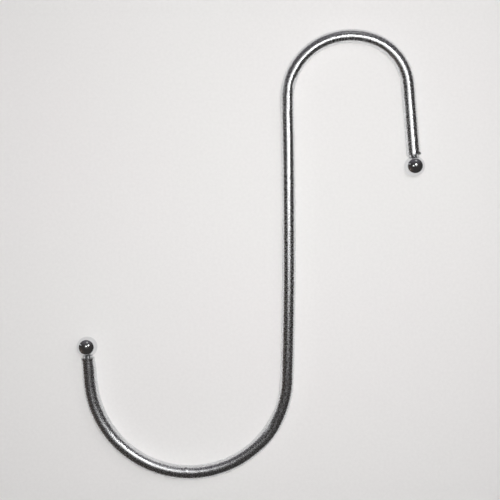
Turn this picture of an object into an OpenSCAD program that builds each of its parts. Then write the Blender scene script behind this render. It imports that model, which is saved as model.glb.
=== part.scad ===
// S hook bent from round steel wire, with a steel ball welded on each end.
// The hook lies flat, as it rests on a table: the wire's centreline is in one level plane,
// the shank runs along +Y, the small upper hook is at +Y and opens towards -Y on its +X side,
// and the large lower hook is at -Y and opens towards +Y on its -X side.
// The origin is under the middle of the hook, on the surface that the balls rest on.
// All sizes are in millimetres, and all angles in degrees.

/* [Wire] */
// Diameter of the wire
wire_d = 5; // [3.5:0.1:6.5]

/* [Shank] */
// Length of the long middle stretch between the two hooks
shank_len = 101.6; // [60:0.1:160]
// Radius of the slight curve that the shank keeps
shank_r = 1850; // [600:10:4000]

/* [Lower hook] */
// Centreline radius of the main bend
lower_r = 36.2; // [24:0.1:50]
// Angle that the main bend turns through
lower_sweep = 128; // [100:1:140]
// Centreline radius where the bend runs out into the shank
run_out_r = 34; // [24:0.1:50]
// Angle that the run-out turns through
run_out_sweep = 45; // [30:1:55]
// Straight length from the bend to the middle of the lower ball
lower_leg = 12.9; // [10:0.1:40]

/* [Upper hook] */
// Centreline radius where the shank leads into the upper hook
lead_r = 22.7; // [16:0.1:34]
// Angle that this first bend turns through
lead_sweep = 72; // [50:1:85]
// Centreline radius of the flatter stretch over the top
crown_r = 24.5; // [16:0.1:36]
// Angle that the flatter stretch turns through
crown_sweep = 38; // [20:1:50]
// Centreline radius where the hook comes down again
tail_r = 19; // [14:0.1:30]
// Angle that this last bend turns through
tail_sweep = 67; // [50:1:80]
// Straight length from the bend to the middle of the upper ball
upper_leg = 29.7; // [10:0.1:50]

/* [Ball ends] */
// Diameter of each ball
ball_d = 7.5; // [6.5:0.1:12]
// Gap on the centreline between the wire's end face and the ball, which the weld fills
weld_gap = 0.12; // [0.05:0.01:0.4]
// Diameter of the weld
weld_d = 3; // [1.5:0.1:3.4]
// How far the lip that the weld squeezes out of the wire's end stands proud of the wire
lip_proud = 0.15; // [0.05:0.01:0.5]
// Length of that lip along the wire
lip_len = 0.9; // [0.4:0.1:1.5]

/* [Hidden] */
$fn = 96;

wire_r = wire_d / 2;
ball_r = ball_d / 2;
lip_r = wire_r + lip_proud;
// The wire's end face stops short of the middle of its ball by this much
wire_stop = ball_r + weld_gap;
shank_turn = shank_len / shank_r * 180 / PI;
// Stretches of wire run smoothly into each other, so they are tied by a hair-thin collar:
// how far it stands proud of the wire, its length, and how far each stretch stops short in it
tie_proud = 0.01;
tie_len = 0.4;
tie_trim = 0.1;

// The path of the wire goes up from the foot of the shank to the upper ball, and from the
// same foot down and round to the lower ball. A stretch of it is [length, turn]: a straight
// has turn 0, and a bend turns left where its turn is positive.
function bend(radius, turn) = [radius * abs(turn) * PI / 180, turn];
function straight(length) = [length, 0];
UPPER = [
    bend(shank_r, shank_turn),
    bend(lead_r, -lead_sweep),
    bend(crown_r, -crown_sweep),
    bend(tail_r, -tail_sweep),
    straight(upper_leg)
];
LOWER = [
    bend(run_out_r, -run_out_sweep),
    bend(lower_r, -lower_sweep),
    straight(lower_leg)
];

// A pose is [x, y, heading], and the heading is counted anticlockwise from +X.
function place_of(pose) = [pose[0], pose[1]];
function ahead(heading) = [cos(heading), sin(heading)];
function left_of(heading) = [-sin(heading), cos(heading)];
// Signed radius of a bend, positive where its centre is on the left
function radius_of(stretch) = stretch[0] / (stretch[1] * PI / 180);
function centre_of(pose, stretch) = place_of(pose) + radius_of(stretch) * left_of(pose[2]);
// The point of a bend's centreline where the heading has this value
function point_at(pose, stretch, heading) =
    centre_of(pose, stretch) - radius_of(stretch) * left_of(heading);
// The same straight or curve, cut to this length
function cut_to(stretch, length) = [length, stretch[1] * length / stretch[0]];
function end_of(pose, stretch) =
    let (heading = pose[2] + stretch[1],
         place = stretch[1] == 0
             ? place_of(pose) + stretch[0] * ahead(heading)
             : point_at(pose, stretch, heading))
    [place[0], place[1], heading];
// The pose at the start of each stretch, and then the pose at the far end of the last one
function poses(start, path) = [
    for (i = 0, pose = start; i <= len(path);
         pose = i < len(path) ? end_of(pose, path[i]) : pose, i = i + 1) pose
];
// The shank's own middle heads along +Y
foot_heading = 90 - shank_turn / 2;
UPPER_POSES = poses([0, 0, foot_heading], UPPER);
LOWER_POSES = poses([0, 0, foot_heading - 180], LOWER);
UPPER_END = UPPER_POSES[len(UPPER)];
LOWER_END = LOWER_POSES[len(LOWER)];

// Where a bend's centreline runs square to X or Y, which is where it reaches furthest
function far_points(pose, stretch) =
    stretch[1] == 0 ? [] :
    let (low = min(pose[2], pose[2] + stretch[1]), high = max(pose[2], pose[2] + stretch[1]))
    [for (quarter = [ceil(low / 90):1:floor(high / 90)]) point_at(pose, stretch, 90 * quarter)];
FAR = [
    for (i = [0:len(UPPER) - 1]) each far_points(UPPER_POSES[i], UPPER[i]),
    for (i = [0:len(LOWER) - 1]) each far_points(LOWER_POSES[i], LOWER[i])
];
BALLS = [place_of(UPPER_END), place_of(LOWER_END)];
// How far the hook reaches along one axis, 0 for X and 1 for Y, to its + or its - side
function reach(axis, side) = max(concat(
    [for (point = FAR) side * point[axis] + wire_r],
    [for (point = BALLS) side * point[axis] + ball_r]
));
// Carries the foot of the shank to its place in the hook's own frame
shift = [
    (reach(0, -1) - reach(0, 1)) / 2,
    (reach(1, -1) - reach(1, 1)) / 2,
    max(ball_r, lip_r)
];

// Puts its children, which are made along +X, at a pose on the path.
module at(pose) translate([pose[0], pose[1], 0]) rotate([0, 0, pose[2]]) children();

// One stretch of plain wire, which starts at the origin and sets off along +X.
module stretch_of_wire(stretch) {
    if (stretch[1] == 0)
        rotate([0, 90, 0]) cylinder(r = wire_r, h = stretch[0]);
    else
        translate([0, radius_of(stretch), 0])
            rotate([0, 0, stretch[1] > 0 ? -90 : 90 + stretch[1]])
                rotate_extrude(angle = abs(stretch[1]))
                    translate([abs(radius_of(stretch)), 0]) circle(r = wire_r);
}

// The collar that ties two stretches where they meet.
module tie() rotate([0, 90, 0]) cylinder(r = wire_r + tie_proud, h = tie_len, center = true);

// The wire's end, with the middle of its ball at the origin and the wire behind it along -X:
// the round lip that the weld has squeezed out, and the weld, hollowed to the ball's curve.
module wire_end() {
    translate([-wire_stop - lip_len / 2, 0, 0]) rotate([0, 90, 0]) rotate_extrude() {
        translate([0, -lip_len / 2]) square([lip_r - lip_len / 2, lip_len]);
        translate([lip_r - lip_len / 2, 0]) circle(d = lip_len);
    }
    difference() {
        translate([-wire_stop - lip_len / 2, 0, 0]) rotate([0, 90, 0])
            cylinder(d = weld_d, h = wire_stop + lip_len / 2 - ball_r / 2);
        sphere(r = ball_r);
    }
}

// The wire along one path. Each stretch stops short inside a collar at both of its ends,
// but the last one ends in the middle of the lip.
module wire_along(starts, path) {
    last = len(path) - 1;
    for (i = [0:last])
        at(end_of(starts[i], cut_to(path[i], tie_trim)))
            stretch_of_wire(cut_to(path[i], path[i][0] - tie_trim
                - (i < last ? tie_trim : wire_stop + lip_len / 2)));
    for (i = [1:last]) at(starts[i]) tie();
    at(starts[last + 1]) wire_end();
}

module wire() color([0.78, 0.79, 0.8]) translate(shift) {
    wire_along(UPPER_POSES, UPPER);
    at(UPPER_POSES[0]) tie();
    wire_along(LOWER_POSES, LOWER);
}

module upper_ball() color([0.84, 0.85, 0.86]) translate(shift) at(UPPER_END) sphere(r = ball_r);

module lower_ball() color([0.84, 0.85, 0.86]) translate(shift) at(LOWER_END) sphere(r = ball_r);

wire();
upper_ball();
lower_ball();
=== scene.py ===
# %% [markdown]
# # An S hook of bright wire with a ball on each end
#
# The real hook is one length of round steel wire, bent cold into a small hook at the top, a
# long shank and a wide hook at the bottom. A steel ball is butt-welded to each end, and then
# the whole thing is chrome plated.
#
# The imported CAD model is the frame: it says where everything is, in metres. This lesson builds
# finer surfaces round it. Each one is worked out with numpy as a profile carried along a path.

import math

import bpy
import numpy as np
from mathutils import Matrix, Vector


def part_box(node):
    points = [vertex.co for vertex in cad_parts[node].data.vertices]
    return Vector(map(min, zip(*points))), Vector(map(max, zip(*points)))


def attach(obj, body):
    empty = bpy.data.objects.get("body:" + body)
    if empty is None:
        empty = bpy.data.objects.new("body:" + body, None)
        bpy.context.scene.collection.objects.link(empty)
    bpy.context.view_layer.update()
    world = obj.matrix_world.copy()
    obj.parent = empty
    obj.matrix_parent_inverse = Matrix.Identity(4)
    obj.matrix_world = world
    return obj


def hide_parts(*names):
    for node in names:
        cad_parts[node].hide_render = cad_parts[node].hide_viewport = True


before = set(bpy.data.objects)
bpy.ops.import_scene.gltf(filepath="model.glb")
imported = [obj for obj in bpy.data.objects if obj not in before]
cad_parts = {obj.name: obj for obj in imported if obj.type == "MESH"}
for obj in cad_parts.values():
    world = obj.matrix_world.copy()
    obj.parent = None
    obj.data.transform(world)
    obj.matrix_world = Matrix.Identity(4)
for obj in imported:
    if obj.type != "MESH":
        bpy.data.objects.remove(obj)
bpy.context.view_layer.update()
MM = 0.001

# %% [markdown]
# ## Where the balls are
#
# The two balls are fixed points of the frame, so the wire's path starts at the middle of one
# and ends at the middle of the other. Their middles and radius come from the CAD nodes' boxes.

# %% Measure the balls in the frame


def middle_and_radius(node):
    """The middle of a CAD node's box, and half of the box's height."""
    low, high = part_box(node)
    return np.array((low + high) / 2), (high.z - low.z) / 2


lower_middle, ball_radius = middle_and_radius("lower_ball")
upper_middle, _ = middle_and_radius("upper_ball")
apart = np.linalg.norm(upper_middle - lower_middle)
print(f"ball radius {ball_radius / MM:.3f} mm, middles {apart / MM:.1f} mm apart")

# %% [markdown]
# ## The stretches of the wire
#
# A bent wire is a chain of straights and round bends, and whoever bends it works from a list of
# lengths and turns. The same list makes the model: a straight has no turn, and a bend's length
# is its radius times its turn. The hooks at both ends are bent in two or three strikes with
# slightly different radii, and the long shank keeps the faint bow that the coil left in it.

# %% List the stretches
WIRE_RADIUS = 2.5 * MM


def bend(radius, turn):
    """Length in mm and turn in degrees of a bend: the length is the radius times the turn in
    radians. A turn to the left is positive."""
    return math.radians(abs(turn)) * radius, turn


LOWER_LEG, UPPER_LEG = (12.9, 0.0), (29.7, 0.0)
LOWER_BEND, RUN_OUT = bend(36.2, 128.0), bend(34.0, 45.0)
SHANK = (101.6, math.degrees(101.6 / 1850.0))
LEAD, CROWN, TAIL = bend(22.7, -72.0), bend(24.5, -38.0), bend(19.0, -67.0)
STRETCHES = [LOWER_LEG, LOWER_BEND, RUN_OUT, SHANK, LEAD, CROWN, TAIL, UPPER_LEG]
print(f"{len(STRETCHES)} stretches, {sum(length for length, _ in STRETCHES):.1f} mm in all")

# %% [markdown]
# ## Walking along the wire
#
# The path could be a Bezier curve, but round bends are only approximated by one. Here the
# heading grows evenly along each bend, and the path is the running sum of small steps along the
# heading. A bending tool never starts a bend at once, so the heading is evened out over a short
# length at every change.

# %% Walk along the wire
STEP = 0.05 * MM
EASE = 3.0 * MM


def walk(stretches, heading, start, end):
    """Arc length, points and headings every STEP along the wire.

    The heading is the start heading plus the turns so far, shared evenly along each stretch,
    and then averaged over EASE. A point is the running sum of STEP times (cos, sin) of the
    heading. What rounding leaves is spread evenly, so that the path ends at end."""
    lengths = np.array([length for length, _ in stretches]) * MM
    turns = np.radians([turn for _, turn in stretches])
    knots = np.concatenate([[0.0], np.cumsum(lengths)])
    count = int(round(knots[-1] / STEP)) + 1
    arc = np.linspace(0.0, knots[-1], count)
    headings = heading + np.interp(arc, knots, np.concatenate([[0.0], np.cumsum(turns)]))
    half = int(EASE / STEP / 2)
    padded = np.pad(headings, half, mode="edge")
    headings = np.convolve(padded, np.full(2 * half + 1, 1 / (2 * half + 1)), mode="valid")
    between = (headings[1:] + headings[:-1]) / 2
    steps = np.stack([np.cos(between), np.sin(between)], axis=1) * (arc[1] - arc[0])
    in_plane = np.concatenate([[[0.0, 0.0]], np.cumsum(steps, axis=0)])
    points = np.column_stack([in_plane, np.zeros(count)]) + start
    miss = end - points[-1]
    points += miss * (arc / arc[-1])[:, None]
    off = np.linalg.norm(miss) / MM
    print(f"wire path {arc[-1] / MM:.1f} mm, {off:.3f} mm off before evening out")
    return arc, points, headings


# The shank's middle points straight up the frame, and the heading is counted back from there
first_heading = math.radians(90.0 - SHANK[1] / 2 - LOWER_BEND[1] - RUN_OUT[1])
path_arc, path_points, path_headings = walk(STRETCHES, first_heading, lower_middle, upper_middle)
PATH_LENGTH = path_arc[-1]


def on_path(arc):
    """The path's points at these arc lengths, and the directions that lie to its left there."""
    points = np.stack([np.interp(arc, path_arc, path_points[:, k]) for k in range(3)], axis=1)
    heading = np.interp(arc, path_arc, path_headings)
    left = np.stack([-np.sin(heading), np.cos(heading), np.zeros_like(heading)], axis=1)
    return points, left


# %% [markdown]
# ## A helper that turns rings into a closed surface
#
# Wire and ball are both a stack of rings with a pole at each end. Four points that are next to
# each other make a face, and a fan of triangles closes each pole. A Screw or Skin modifier could
# do much of this, but then the rings couldn't carry dents and grain. The piece's own UV map runs
# along the stack in U and once round it in V.

# %% Mesh helper


def enclosed(points, triangles):
    """The volume inside triangles a, b, c: a sixth of the sum of a . (b x c)."""
    a, b, c = (points[triangles[:, corner]] for corner in range(3))
    return np.einsum("ij,ij->", a, np.cross(b, c)) / 6


def closed_surface(name, rings, poles, along):
    """A mesh object from rings, an array of (ring, column, xyz), and two pole points.

    Face (i, j) joins ring i to ring i + 1 and column j to column j + 1, where the last column
    joins the first. U is along[i] and V is the share of the way round."""
    count, columns = rings.shape[:2]
    points = np.concatenate([rings.reshape(-1, 3), poles])
    i, j = np.meshgrid(np.arange(count - 1), np.arange(columns), indexing="ij")
    k = (j + 1) % columns
    ring, next_ring = i * columns, (i + 1) * columns
    quads = np.stack([ring + j, next_ring + j, next_ring + k, ring + k], -1).reshape(-1, 4)
    quad_u = np.stack([along[i], along[i + 1], along[i + 1], along[i]], -1)
    quad_v = np.stack([j, j, j + 1, j + 1], -1)
    j = np.arange(columns)
    k = (j + 1) % columns
    pole, last_ring = np.full(columns, count * columns), (count - 1) * columns
    first_fan = np.stack([pole, j, k], -1)
    last_fan = np.stack([pole + 1, last_ring + k, last_ring + j], -1)
    fans = np.concatenate([first_fan, last_fan])
    fan_u = np.repeat(along[[0, -1]], columns * 3)
    fan_v = np.concatenate([np.stack([j + 0.5, j, j + 1], -1), np.stack([j + 0.5, j + 1, j], -1)])
    mesh = bpy.data.meshes.new(name)
    mesh.from_pydata(points.tolist(), [], quads.tolist() + fans.tolist())
    u = np.concatenate([quad_u.ravel(), fan_u])
    v = np.concatenate([quad_v.ravel(), fan_v.ravel()]) / columns
    uv = mesh.uv_layers.new(name="UVMap")
    uv.data.foreach_set("uv", np.stack([u, v], -1).astype(np.float32).ravel())
    mesh.shade_smooth()
    mesh.update()
    piece = bpy.data.objects.new(name, mesh)
    bpy.context.scene.collection.objects.link(piece)
    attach(piece, "root")
    triangles = np.concatenate([quads[:, [0, 1, 2]], quads[:, [0, 2, 3]], fans])
    volume = enclosed(points, triangles) / MM**3
    assert volume > 0, "the faces look inwards"
    print(f"{name}: {len(points)} points, {len(triangles)} triangles, {volume:.0f} mm3")
    return piece


# %% [markdown]
# ## Noise with a chosen wavelength
#
# Drawn wire that is plated bright isn't a perfect mirror. Its skin has a fine orange peel, and
# faint waves from the die run along it. A noise texture on a Bump node could show them, but
# geometry keeps them in every export. White noise is filtered to a band of wavelengths with a
# Fourier transform, which also closes the pattern round the wire.

# %% Noise helper


def banded_noise(seed, shape, cells, shortest, longest, stretch=1.0):
    """Random heights with a root mean square of 1 and waves between two lengths.

    White noise is multiplied, in its Fourier transform, by a smooth band. Waves along the wire
    are made stretch times longer than the waves round it."""
    white = np.random.default_rng(seed).standard_normal(shape)
    along = np.fft.fftfreq(shape[0], cells[0])[:, None] * stretch
    across = np.fft.rfftfreq(shape[1], cells[1])[None, :]
    cycles = np.hypot(along, across)
    band = 1 / (1 + (cycles * shortest) ** 8) - 1 / (1 + (cycles * longest) ** 8)
    field = np.fft.irfft2(np.fft.rfft2(white) * band, shape)
    print(f"noise {seed}: waves of {shortest / MM:.1f} to {longest / MM:.1f} mm")
    return field / field.std()


# %% [markdown]
# ## The end of the wire
#
# Each end of the wire is sawn flat. The butt weld presses the ball against it, which squeezes
# out a low lip round the face and leaves a narrow neck of weld between the face and the ball.
# A Boolean of cylinders would give sharp steps there. This way a smooth curve runs through a few
# (distance, radius) points, and the wire's rings simply take their radius from it.

# %% Outline of a wire's end
WELD_GAP = 0.12 * MM
FACE = ball_radius + WELD_GAP
# Distance from the face and radius, in mm, from the neck out to the plain wire
NECK = [(-0.30, 1.42), (-0.14, 1.25), (-0.03, 1.40)]
SAWN_FACE = [(0.0, 1.80), (0.005, 2.14), (0.02, 2.37)]
LIP = [(0.05, 2.48), (0.09, 2.515), (0.16, 2.53), (0.35, 2.527)]
FADING_OUT = [(0.62, 2.52), (0.95, 2.51), (1.30, 2.502), (1.70, 2.5)]
END_OUTLINE = np.array(NECK + SAWN_FACE + LIP + FADING_OUT) * MM + [FACE, 0]
RINGS_PER_GAP = 3


def smooth_through(points, per_gap):
    """Points on the Catmull-Rom curve through these points, per_gap of them to each gap: half of
    2b + (c - a)t + (2a - 5b + 4c - d)t2 + (3b - a - 3c + d)t3, for neighbours a, b, c and d."""
    p = np.concatenate([[2 * points[0] - points[1]], points, [2 * points[-1] - points[-2]]])
    t = (np.arange(per_gap) / per_gap)[None, :, None]
    a, b, c, d = (p[k : len(p) - 3 + k, None, :] for k in range(4))
    square, cube = 2 * a - 5 * b + 4 * c - d, 3 * b - a - 3 * c + d
    curve = 0.5 * (2 * b + (c - a) * t + square * t**2 + cube * t**3)
    return np.concatenate([curve.reshape(-1, 2), points[-1:]])


outline = smooth_through(END_OUTLINE, RINGS_PER_GAP)
# Inside the neck the surface follows the ball, out from the pole
CAP_RINGS = 4
cap_radius = np.arange(1, CAP_RINGS + 1) / CAP_RINGS * END_OUTLINE[0, 1]
cap = np.column_stack([np.sqrt(ball_radius**2 - cap_radius**2), cap_radius])
on_ball = np.sqrt(np.maximum(ball_radius**2 - outline[:, 1] ** 2, 0))
outline[:, 0] = np.maximum(outline[:, 0], on_ball)
outline = np.concatenate([cap, outline[1:]])
print(f"end outline: {len(outline)} rings over {np.ptp(outline[:, 0]) / MM:.2f} mm")

# %% [markdown]
# ## The grid of the wire
#
# The wire is a round profile carried along the path. Its grid has a ring about every fifth of
# a millimetre and 64 columns, fine enough to hold the orange peel and the tools' marks. Ring by
# ring, the radius is the end's outline near a ball and the plain wire's radius elsewhere.

# %% Rings and columns of the wire
COLUMNS = 64
BODY_RINGS = 1380
body_start = outline[-1, 0]
body_arc = np.linspace(body_start, PATH_LENGTH - body_start, BODY_RINGS)
near_end, far_end = outline[:-1], outline[-2::-1]
arc = np.concatenate([near_end[:, 0], body_arc, PATH_LENGTH - far_end[:, 0]])
radius = np.concatenate([near_end[:, 1], np.full(BODY_RINGS, WIRE_RADIUS), far_end[:, 1]])
# Columns run round from the underside: left of the path is 0, the top is a quarter turn
angle = -math.pi / 2 + 2 * math.pi * np.arange(COLUMNS) / COLUMNS
ARC, ANGLE = np.meshgrid(arc, angle, indexing="ij")
GIRTH = 2 * math.pi * WIRE_RADIUS
cells = (body_arc[1] - body_arc[0], GIRTH / COLUMNS)
print(f"wire rings every {cells[0] / MM:.3f} mm, columns every {cells[1] / MM:.3f} mm")

# %% [markdown]
# ## The skin of the wire
#
# Three noises add up to the skin: the peel of the plate, longer waves from handling, and lines
# that the die drew along the wire. They are a few thousandths of a millimetre high, which a
# bright metal shows and a matt one wouldn't. They fade out before the welds.

# %% Skin of the wire
shape = (BODY_RINGS, COLUMNS)
PEEL_HEIGHT, WAVE_HEIGHT, DRAW_HEIGHT = 0.0014 * MM, 0.004 * MM, 0.0010 * MM
peel = banded_noise(11, shape, cells, 0.8 * MM, 2.0 * MM) * PEEL_HEIGHT
waves = banded_noise(12, shape, cells, 2.0 * MM, 9.0 * MM) * WAVE_HEIGHT
draw = banded_noise(13, shape, cells, 0.9 * MM, 2.0 * MM, stretch=7.0) * DRAW_HEIGHT
FADE_RINGS = 8
ring_number = np.arange(BODY_RINGS)
from_end = np.minimum(ring_number, ring_number[::-1])
fade = np.clip(from_end / FADE_RINGS, 0, 1)[:, None]
relief = np.zeros((len(arc), COLUMNS))
relief[len(near_end) : len(near_end) + BODY_RINGS] = (peel + waves + draw) * fade
print(f"skin {1000 * relief.std() / MM:.1f} um rms, {1000 * np.ptp(relief) / MM:.0f} um in all")

# %% [markdown]
# ## Marks of the welder and the bender
#
# The hook isn't perfect: a bending tool left a flat at the top of the shank, a pimple sits on the
# inner side of the wide bend, there is a nick near the lower ball, and the welds left drops of
# flash. Each is a small change of the radius, written as a formula over the whole grid, so it
# can be placed with a length along the wire and an angle round it. It could be sculpted by hand,
# but then it couldn't be moved or measured.

# %% Bumps and flats
# A flat reaches at most this far round the wire to each side of its middle, in radians
FLAT_REACH = 1.2


def around(value):
    """The same angle between minus and plus half a turn."""
    return (value + math.pi) % (2 * math.pi) - math.pi


def bump(at, side, long, wide, height):
    """A rounded bump: height times e to the power of minus the squared distance, where the
    distance is counted in long along the wire and in wide round it. All in mm and degrees."""
    along = (ARC / MM - at) / long
    across = around(ANGLE - math.radians(side)) * WIRE_RADIUS / MM / wide
    return height * MM * np.exp(-(along**2) - across**2)


def flat(at, side, long, depth):
    """What a tool's flat takes off: the radius less the distance to a level that lies depth
    under the surface and fades out over long, never less than nothing."""
    level = WIRE_RADIUS - depth * MM * np.exp(-(((ARC / MM - at) / long) ** 4))
    turn = around(ANGLE - math.radians(side))
    slant = np.cos(np.clip(turn, -FLAT_REACH, FLAT_REACH))
    reach = np.where(np.abs(turn) < FLAT_REACH, level / slant, WIRE_RADIUS)
    return -np.maximum(WIRE_RADIUS - reach, 0)


# The pimple is a low mound with a steeper peak on its inner side
pimple = bump(at=65.3, side=48, long=0.50, wide=0.60, height=0.13)
pimple += bump(at=65.1, side=27, long=0.34, wide=0.45, height=0.24)
nick = bump(at=9.1, side=178, long=0.25, wide=0.4, height=-0.04)
tool_flat = flat(at=228.5, side=142, long=2.2, depth=0.16)
upper_flash = bump(at=314.35, side=28, long=0.45, wide=0.55, height=0.42)
upper_flash += bump(at=314.9, side=175, long=0.4, wide=0.8, height=0.08)
lower_flash = bump(at=4.25, side=40, long=0.35, wide=0.5, height=0.16)
lower_flash += bump(at=4.25, side=140, long=0.35, wide=0.5, height=0.20)
relief += pimple + nick + tool_flat + upper_flash + lower_flash
print(f"tallest mark {relief.max() / MM:.2f} mm, deepest {relief.min() / MM:.2f} mm")

# %% [markdown]
# ## Where the bender gripped
#
# A wire that is gripped and bent doesn't stay quite round. It is squeezed askew by a tenth of a
# millimetre or two, which doesn't show in its outline, but it swings the bright line on top of
# the wire to one side. A Lattice modifier could squeeze it; one sine round the wire does it too.

# %% Grips of the bender


def oval(at, long, lean):
    """Squeezes the round askew, so that the top of the wire leans to the left by lean degrees:
    minus half the radius times the lean in radians times the sine of twice the angle round the
    wire, fading out over long."""
    share = np.exp(-(((ARC / MM - at) / long) ** 4))
    return -0.5 * WIRE_RADIUS * math.radians(lean) * share * np.sin(2 * ANGLE)


# Each grip's middle and half length along the wire in mm, and its lean in degrees
CROWN_GRIP, WIDE_BEND_GRIP, RUN_OUT_GRIP = (256, 22, 6.5), (24, 16, 8.0), (99.5, 5, 10.0)
SHANK_TOP_GRIP, SHANK_GRIP = (222.5, 4, 5.0), (183, 20, -3.0)
GRIPS = [CROWN_GRIP, WIDE_BEND_GRIP, SHANK_TOP_GRIP, RUN_OUT_GRIP, SHANK_GRIP]
askew = sum(oval(*grip) for grip in GRIPS)
relief += askew
print(f"{len(GRIPS)} grips squeeze the wire by up to {askew.max() / MM:.3f} mm")

# %% [markdown]
# ## The wire itself
#
# Now the rings are placed: a point is the path's point plus the radius times the cosine of its
# angle to the left and the sine of its angle upwards. The piece stands in for the CAD wire. U
# counts turns of the same length as V, so that a square on the map is a square on the wire.

# %% Build the wire
UP = np.array([0.0, 0.0, 1.0])
ring_radius = radius[:, None] + relief
centres, lefts = on_path(arc)
outward = np.cos(ANGLE)[..., None] * lefts[:, None, :] + np.sin(ANGLE)[..., None] * UP
rings = centres[:, None, :] + ring_radius[..., None] * outward
pole_points, _ = on_path(np.array([ball_radius, PATH_LENGTH - ball_radius]))
# The columns are taken the other way round, because only then do the faces look outwards
turns_along = arc / GIRTH
wire = closed_surface("plated_wire", rings[:, ::-1], pole_points, turns_along)
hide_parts("wire")

# %% [markdown]
# ## The balls
#
# Each ball is a ground bearing ball, far smoother than the wire, so its shape is a true sphere
# and its polish is left to the plating. A ready-made sphere would put its poles up and down,
# where the light falls. On this grid they lie on the wire's line, and the weld hides one.

# %% Build the balls
BALL_RINGS, BALL_COLUMNS = 90, 128


def ball_surface(name, middle, leg_at, node):
    """A ball on a grid: a ring is at the cosine of the polar angle times the radius along the
    wire's line, and its own radius is the sine of that angle times the ball's."""
    polar = np.pi * (np.arange(BALL_RINGS) + 1) / (BALL_RINGS + 1)
    turn = 2 * np.pi * np.arange(BALL_COLUMNS) / BALL_COLUMNS
    on_wire, _ = on_path(np.array([leg_at]))
    axis = on_wire[0] - middle
    axis = axis / np.linalg.norm(axis)
    side = np.cross(UP, axis)
    direction = (
        np.cos(polar)[:, None, None] * axis
        + (np.sin(polar)[:, None] * np.cos(turn))[..., None] * side
        + (np.sin(polar)[:, None] * np.sin(turn))[..., None] * UP
    )
    poles = middle + ball_radius * np.array([axis, -axis])
    ball = closed_surface(name, middle + ball_radius * direction, poles, polar / (2 * np.pi))
    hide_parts(node)
    return ball


# The line from a ball's middle to a point this far along the wire is the line of its leg
ON_THE_LEG = 5 * MM
upper = ball_surface("ball_on_upper_end", upper_middle, PATH_LENGTH - ON_THE_LEG, "upper_ball")
lower = ball_surface("ball_on_lower_end", lower_middle, ON_THE_LEG, "lower_ball")

# %% [markdown]
# ## Helpers for shader nodes
#
# A material is a graph of nodes. It could be wired by hand in the shader editor; built by code
# it can be read from top to bottom. One helper adds a node and fills or links its sockets in the
# same call, one empties the tree that a new material or world starts with, and one blends two
# colours.

# %% Node helpers


def add(tree, kind, sockets=None, **settings):
    """Adds a node. A socket gets a plain value, or a link where the value is an output."""
    node = tree.nodes.new(kind)
    for name, value in settings.items():
        setattr(node, name, value)
    for name, value in (sockets or {}).items():
        if isinstance(value, bpy.types.NodeSocket):
            tree.links.new(value, node.inputs[name])
        else:
            node.inputs[name].default_value = value
    return node


def new_tree(owner):
    """Turns nodes on for a material or world and empties its tree."""
    owner.use_nodes = True
    owner.node_tree.nodes.clear()
    return owner.node_tree


def blended(tree, share, from_colour, to_colour):
    """A colour between two, plain or linked, as share goes from 0 to 1."""
    mix = add(tree, "ShaderNodeMix", {0: share}, data_type="RGBA")
    # A Mix node has sockets for three kinds of data: its colours go in at 6 and 7, and out at 2
    for socket, colour in ((6, from_colour), (7, to_colour)):
        if isinstance(colour, bpy.types.NodeSocket):
            tree.links.new(colour, mix.inputs[socket])
        else:
            mix.inputs[socket].default_value = (*colour, 1)
    return mix.outputs[2]


print("node helpers:", add.__name__, new_tree.__name__, blended.__name__)

# %% [markdown]
# ## Grain of the chrome plate
#
# Chrome over drawn wire has a grain that breaks every highlight into sparkles; over ground balls
# it is almost gone. Both are the same finish with other numbers, so one node group makes it: a
# fine noise for the height of a bump, and patches of a coarser noise that are duller or
# brighter. The group gives out only values that vary, and the shader stays in the material.

# %% Plating group
plating = bpy.data.node_groups.new("plating grain", "ShaderNodeTree")
plating.interface.new_socket("Vector", in_out="INPUT", socket_type="NodeSocketVector")
for name in ("Grains per metre", "Brightest", "Dullest"):
    plating.interface.new_socket(name, in_out="INPUT", socket_type="NodeSocketFloat")
for name in ("Height", "Roughness"):
    plating.interface.new_socket(name, in_out="OUTPUT", socket_type="NodeSocketFloat")
inside = add(plating, "NodeGroupInput").outputs
fine = add(plating, "ShaderNodeTexNoise", {
    "Vector": inside["Vector"], "Scale": inside["Grains per metre"],
    "Detail": 1.0, "Roughness": 0.55})
PATCHES_PER_GRAIN = 0.62
# Where between its lowest and highest value the patch noise is all bright and all dull
BRIGHT_UP_TO, DULL_FROM = 0.38, 0.62
patch_scale = add(plating, "ShaderNodeMath", {
    0: inside["Grains per metre"], 1: PATCHES_PER_GRAIN}, operation="MULTIPLY")
patches = add(plating, "ShaderNodeTexNoise", {
    "Vector": inside["Vector"], "Scale": patch_scale.outputs[0],
    "Detail": 2.0, "Roughness": 0.6})
dulled = add(plating, "ShaderNodeMapRange", {
    "Value": patches.outputs[0], "From Min": BRIGHT_UP_TO, "From Max": DULL_FROM,
    "To Min": inside["Brightest"], "To Max": inside["Dullest"]})
add(plating, "NodeGroupOutput", {"Height": fine.outputs[0], "Roughness": dulled.outputs[0]})
print("plating group:", [item.name for item in plating.interface.items_tree])

# %% [markdown]
# ## Chrome on the wire and on the balls
#
# A metal's colour is what it mirrors, tinted by a base colour that is nearly white. A slow wash
# makes that tint a little uneven, as plate that is thicker in places. On the wire the grain
# follows the wire's own map, so it turns with every bend; on the balls it is read from the
# object's space. The wire is hazy and the balls are clear.

# %% Chrome materials
WASHES_PER_METRE = 60.0
THIN_PLATE = 0.95


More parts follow.
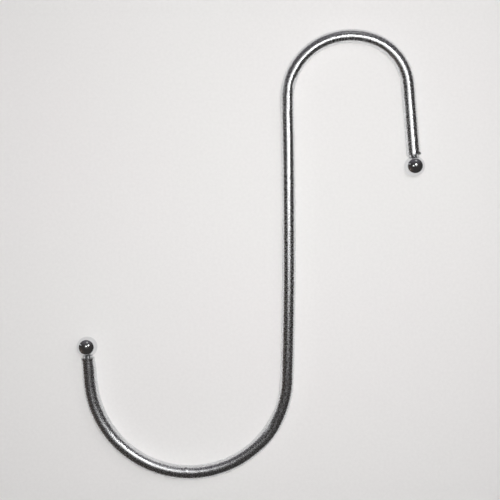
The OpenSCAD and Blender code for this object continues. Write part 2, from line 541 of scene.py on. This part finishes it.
def chrome(name, colour, grains, brightest, dullest, depth, on_map=False):
    """A chrome plate with the grain group, a bump of this depth and a wash of colour.

    With on_map, the grain reads the wire's own map, stretched to metres by the wire's girth."""
    material = bpy.data.materials.new(name)
    tree = new_tree(material)
    place = add(tree, "ShaderNodeTexCoord")
    on_surface = place.outputs["Object"]
    if on_map:
        on_surface = add(tree, "ShaderNodeMapping", {
            "Vector": place.outputs["UV"], "Scale": (GIRTH, GIRTH, GIRTH)}).outputs["Vector"]
    grain = add(tree, "ShaderNodeGroup", node_tree=plating)
    tree.links.new(on_surface, grain.inputs["Vector"])
    grain.inputs["Grains per metre"].default_value = grains
    grain.inputs["Brightest"].default_value = brightest
    grain.inputs["Dullest"].default_value = dullest
    raised = add(tree, "ShaderNodeBump", {"Height": grain.outputs["Height"], "Distance": depth})
    tone = add(tree, "ShaderNodeTexNoise", {
        "Vector": place.outputs["Object"], "Scale": WASHES_PER_METRE, "Detail": 3.0})
    thinner = [THIN_PLATE * part for part in colour]
    shader = add(tree, "ShaderNodeBsdfPrincipled", {
        "Base Color": blended(tree, tone.outputs[0], thinner, colour), "Metallic": 1.0,
        "Roughness": grain.outputs["Roughness"], "Normal": raised.outputs["Normal"]})
    add(tree, "ShaderNodeOutputMaterial", {"Surface": shader.outputs["BSDF"]})
    print(f"{name}: {grains:.0f} grains per metre, roughness {brightest} to {dullest}")
    return material


wire.data.materials.append(
    chrome("chrome on wire", (0.78, 0.79, 0.80), 2900.0, 0.17, 0.35, 0.038 * MM, on_map=True))
ball_plate = chrome("chrome on ball", (0.80, 0.81, 0.82), 900.0, 0.06, 0.10, 0.002 * MM)
for ball in (upper, lower):
    ball.data.materials.append(ball_plate)

# %% [markdown]
# ## The paper it lies on
#
# The hook lies on a sheet of matt paper. One big face is enough for its shape. Its colour is
# cloudy, from a cool to a warm grey, and flecked by a fine noise for the fibres. Matt paper has
# no gloss worth showing, so a plain diffuse shader does. Such a sheet is often curved up behind
# the thing it shows; here the camera sees it fade into the backdrop's colour away from the hook,
# which needs no curve.

# %% Colour of the paper
BACKDROP = (0.79, 0.79, 0.785)
COOL_PAPER, WARM_PAPER = (0.80, 0.80, 0.785), (0.81, 0.785, 0.785)
# The fibres' noise is darkest, and then not dark at all, at these values of it
FIBRE_SHADE, FIBRE_DARK, FIBRE_PALE = 0.97, 0.3, 0.7
FIBRES_PER_METRE, CLOUDS_PER_METRE = 900.0, 12.0
paper = bpy.data.materials.new("pale paper")
tree = new_tree(paper)
place = add(tree, "ShaderNodeTexCoord").outputs["Object"]
fibre = add(tree, "ShaderNodeTexNoise", {
    "Vector": place, "Scale": FIBRES_PER_METRE, "Detail": 3.0})
cloud = add(tree, "ShaderNodeTexNoise", {
    "Vector": place, "Scale": CLOUDS_PER_METRE, "Detail": 2.0})
tint = blended(tree, cloud.outputs[0], COOL_PAPER, WARM_PAPER)
shade = add(tree, "ShaderNodeMapRange", {
    "Value": fibre.outputs[0], "From Min": FIBRE_DARK, "From Max": FIBRE_PALE,
    "To Min": FIBRE_SHADE, "To Max": 1.0})
flecked = add(tree, "ShaderNodeVectorMath", {0: tint, 1: shade.outputs[0]}, operation="MULTIPLY")
matt = add(tree, "ShaderNodeBsdfDiffuse", {"Color": flecked.outputs[0]})
print("paper from", COOL_PAPER, "to", WARM_PAPER)

# %% Fading into the backdrop
FADE_FROM, FADE_TO = 0.135, 0.42
ray = add(tree, "ShaderNodeLightPath")
away = add(tree, "ShaderNodeVectorMath", {0: place}, operation="LENGTH")
far = add(tree, "ShaderNodeMapRange", {
    "Value": away.outputs["Value"], "From Min": FADE_FROM, "From Max": FADE_TO},
    interpolation_type="SMOOTHSTEP")
seen_far = add(tree, "ShaderNodeMath", {
    0: far.outputs["Result"], 1: ray.outputs["Is Camera Ray"]}, operation="MULTIPLY")
glow = add(tree, "ShaderNodeEmission", {"Color": (*BACKDROP, 1), "Strength": 1.0})
either = add(tree, "ShaderNodeMixShader", {
    0: seen_far.outputs[0], 1: matt.outputs["BSDF"], 2: glow.outputs["Emission"]})
add(tree, "ShaderNodeOutputMaterial", {"Surface": either.outputs["Shader"]})
print(f"the paper fades from {FADE_FROM} m to {FADE_TO} m away")

# %% Lay the paper
HALF = 20.0
sheet = bpy.data.meshes.new("paper")
corners = [(-HALF, -HALF, 0), (HALF, -HALF, 0), (HALF, HALF, 0), (-HALF, HALF, 0)]
sheet.from_pydata(corners, [], [(0, 1, 2, 3)])
sheet.materials.append(paper)
floor = bpy.data.objects.new("paper", sheet)
bpy.context.scene.collection.objects.link(floor)
print(f"paper {2 * HALF:.0f} m wide")

# %% [markdown]
# ## Lamps
#
# Soft light on matt paper and bright lines on chrome are two jobs. Big weak lamps that metal
# doesn't mirror do the first: a fill from above, one lamp overhead towards the back, one
# straight above that throws the shadow, one beside the camera and a window to the side. Small
# lamps at the camera's height do the second: each makes one line along the wire or one spot on a
# ball. A Blender lamp can be left out of reflections with visible_glossy, and out of the diffuse
# light with visible_diffuse.

# %% Lamp helper


def lamp(name, kind, place, energy, size, glossy=True, diffuse=True, shadow=True):
    """A lamp at a place in mm that shines at the middle of the frame. A sun's size is its angle
    in degrees, and a disc lamp's is its diameter in mm."""
    data = bpy.data.lights.new(name, kind)
    data.energy = energy
    data.use_shadow = shadow
    if kind == "SUN":
        data.angle = math.radians(size)
    else:
        data.shape = "DISK"
        data.size = size * MM
    thing = bpy.data.objects.new(name, data)
    thing.location = Vector(place) * MM
    thing.rotation_euler = (-thing.location).to_track_quat("-Z", "Y").to_euler()
    thing.visible_camera = False
    thing.visible_glossy = glossy
    thing.visible_diffuse = diffuse
    bpy.context.scene.collection.objects.link(thing)
    print(f"lamp {name}: {kind.lower()}, {energy:.3g}, size {size}")
    return thing


def disc(name, place, brightness, diameter, **sees):
    """A disc lamp whose face has this brightness: its watts are pi times brightness times area."""
    area = math.pi * (diameter * MM / 2) ** 2
    return lamp(name, "AREA", place, math.pi * brightness * area, diameter, **sees)


# %% Light for the paper
lamp("fill", "SUN", (0, 0, 1000), 0.38, 5, glossy=False, shadow=False)
disc("overhead", (85, 170, 380), 21.8, 80, glossy=False, shadow=False)
disc("soft_top", (10, 50, 300), 9.5, 60, glossy=False)
lamp("side_window", "SUN", (900, 150, 700), 0.20, 40, glossy=False)
# This one doesn't fall off with distance: its strength is its energy over pi, everywhere
BY_CAMERA = 1.5
by_camera = lamp("by_camera", "AREA", (2, 6, 264), BY_CAMERA * math.pi, 45, glossy=False)
by_camera.data.use_nodes = True
tree = by_camera.data.node_tree
even = add(tree, "ShaderNodeLightFalloff", {"Strength": 1.0})
tree.links.new(even.outputs["Constant"], tree.nodes["Emission"].inputs["Strength"])

# %% [markdown]
# ## Lamps that only one finish answers to
#
# Clear plate shows a lamp as a sharp spot, and hazy plate spreads it into a line. To set the
# spots on the balls without upsetting the line on the wire, two lamps are linked to one kind of
# plate each. Light linking is Cycles' way to say which objects a lamp shines on.

# %% Lines on the wire and spots on the balls
disc("key_lamp", (86, 88, 262), 5.2, 72)
near_lamp = disc("near_lamp", (-48, 26, 260), 2.6, 60)
halo = disc("halo", (8, 54, 262), 1.3, 180, diffuse=False)
for light, group, pieces in ((halo, "hazy plate", (wire,)),
                             (near_lamp, "clear plate", (upper, lower))):
    shone_on = bpy.data.collections.new(group)
    for piece in pieces:
        shone_on.objects.link(piece)
    light.light_linking.receiver_collection = shone_on
    print(f"{light.name} shines on {group}: {[piece.name for piece in pieces]}")

# %% [markdown]
# ## The room
#
# Bright plate shows the room it is in. This one is dim overhead and a little lighter towards the
# back. An image of a room could be wrapped round the scene; painted directions are lighter and
# need no file. Each is a soft spot of colour round one direction, and one is a tall bright edge,
# such as of a door.

# %% Helpers for painting the room
world = bpy.data.worlds.new("room")
bpy.context.scene.world = world
tree = new_tree(world)
gaze = add(tree, "ShaderNodeTexCoord").outputs["Generated"]


def toward(azimuth, elevation):
    """The unit vector at these angles in degrees: azimuth from the right, elevation from level."""
    turn, rise = math.radians(azimuth), math.radians(elevation)
    return (math.cos(rise) * math.cos(turn), math.cos(rise) * math.sin(turn), math.sin(rise))


def along_gaze(direction):
    """How far the direction looked in goes along another: the dot product of the two."""
    dot = add(tree, "ShaderNodeVectorMath", {0: gaze, 1: direction}, operation="DOT_PRODUCT")
    return dot.outputs["Value"]


def share_near(direction, inner, outer):
    """1 within inner degrees of a direction, and 0 beyond outer."""
    edge = add(tree, "ShaderNodeMapRange", {
        "Value": along_gaze(direction), "From Min": math.cos(math.radians(outer)),
        "From Max": math.cos(math.radians(inner))}, interpolation_type="SMOOTHSTEP")
    return edge.outputs["Result"]


def product(a, b):
    """One value times another."""
    return add(tree, "ShaderNodeMath", {0: a, 1: b}, operation="MULTIPLY").outputs[0]


print("looking to the right is", [round(part, 3) for part in toward(0, 0)])

# %% Paint the room
DIM, BACK = (0.042, 0.039, 0.038), (0.12, 0.112, 0.125)
# Colour, azimuth, elevation, and the degrees within which it is full and beyond which it is gone
SIGHTS = [
    ((0.10, 0.095, 0.095), 60, 74, 4, 34),
    ((0.50, 0.50, 0.50), 80, 31, 3, 13),
    ((0.075, 0.062, 0.054), 214, 8, 12, 48),
    ((0.50, 0.40, 0.37), 216, 18, 2.5, 5),
]
# The room's back begins at this share of the way to straight back, and is full at the other
BACK_FROM, BACK_FULL = 0.2, 0.95
DOOR, DOOR_AZIMUTH, DOOR_ELEVATION = (0.85, 0.86, 0.88), 159, 8
# Half the width of the door's edge, and where it is gone, as shares of the distance to it
DOOR_HALF_WIDTH, DOOR_GONE = 0.03, 0.06
# Degrees above and below its middle to which the edge is full, and where it is gone
DOOR_HALF_HEIGHT, DOOR_END = 20, 26
parts = add(tree, "ShaderNodeSeparateXYZ", {"Vector": gaze})
towards_back = add(tree, "ShaderNodeMapRange", {
    "Value": parts.outputs["Y"], "From Min": BACK_FROM, "From Max": BACK_FULL},
    interpolation_type="SMOOTHSTEP")
sight = blended(tree, towards_back.outputs["Result"], DIM, BACK)
for colour, azimuth, elevation, inner, outer in SIGHTS:
    sight = blended(tree, share_near(toward(azimuth, elevation), inner, outer), sight, colour)
# The door's edge is thin across and tall
across = add(tree, "ShaderNodeMath", {
    0: along_gaze(toward(DOOR_AZIMUTH + 90, 0))}, operation="ABSOLUTE")
thin = add(tree, "ShaderNodeMapRange", {
    "Value": across.outputs[0], "From Min": DOOR_HALF_WIDTH, "From Max": DOOR_GONE,
    "To Min": 1.0, "To Max": 0.0})
tall = share_near(toward(DOOR_AZIMUTH, DOOR_ELEVATION), DOOR_HALF_HEIGHT, DOOR_END)
sight = blended(tree, product(thin.outputs["Result"], tall), sight, DOOR)
print(f"room with {len(SIGHTS)} spots and the edge of a door")

# %% [markdown]
# ## The backdrop
#
# The paper runs on into a pale backdrop, which the camera sees as far up as it looks, and which
# the metal mirrors as a narrow strip above the paper. It could be a real curved sheet, but that
# would light the hook from all sides. Light Path tells the camera's rays and the mirrored rays
# from the rays that carry light.

# %% Backdrop and world
# How high above level the metal mirrors the strip, and where it is gone, as sines of the angle
STRIP_TOP, STRIP_GONE = 0.02, 0.045
ray = add(tree, "ShaderNodeLightPath")
strip = add(tree, "ShaderNodeMapRange", {
    "Value": parts.outputs["Z"], "From Min": STRIP_TOP, "From Max": STRIP_GONE,
    "To Min": 1.0, "To Max": 0.0})
in_metal = product(ray.outputs["Is Glossy Ray"], strip.outputs["Result"])
pale = add(tree, "ShaderNodeMath", {
    0: ray.outputs["Is Camera Ray"], 1: in_metal}, operation="MAXIMUM")
seen = blended(tree, pale.outputs[0], sight, BACKDROP)
background = add(tree, "ShaderNodeBackground", {"Color": seen, "Strength": 1.0})
add(tree, "ShaderNodeOutputWorld", {"Surface": background.outputs["Background"]})
print(f"world of {len(tree.nodes)} nodes")

# %% [markdown]
# ## The camera
#
# The camera hangs straight over the hook and looks down on it, so that the hook is seen flat, as
# in a catalogue. It is close, with a lens a little longer than normal, and so the ends of the
# hook are seen slightly from the side.

# %% Camera and view settings
LENS, SENSOR = 51.876, 36.0
CAMERA_AT = (-0.28, 1.5, 265.75)
camera_data = bpy.data.cameras.new("camera")
camera_data.lens, camera_data.sensor_width = LENS, SENSOR
camera_data.clip_start = 0.01
camera = bpy.data.objects.new("camera", camera_data)
camera.location = Vector(CAMERA_AT) * MM
bpy.context.scene.collection.objects.link(camera)
bpy.context.scene.camera = camera
bpy.context.scene.view_settings.view_transform = "Standard"
print(f"camera {CAMERA_AT[2]} mm up, sees {CAMERA_AT[2] * SENSOR / LENS:.0f} mm across")
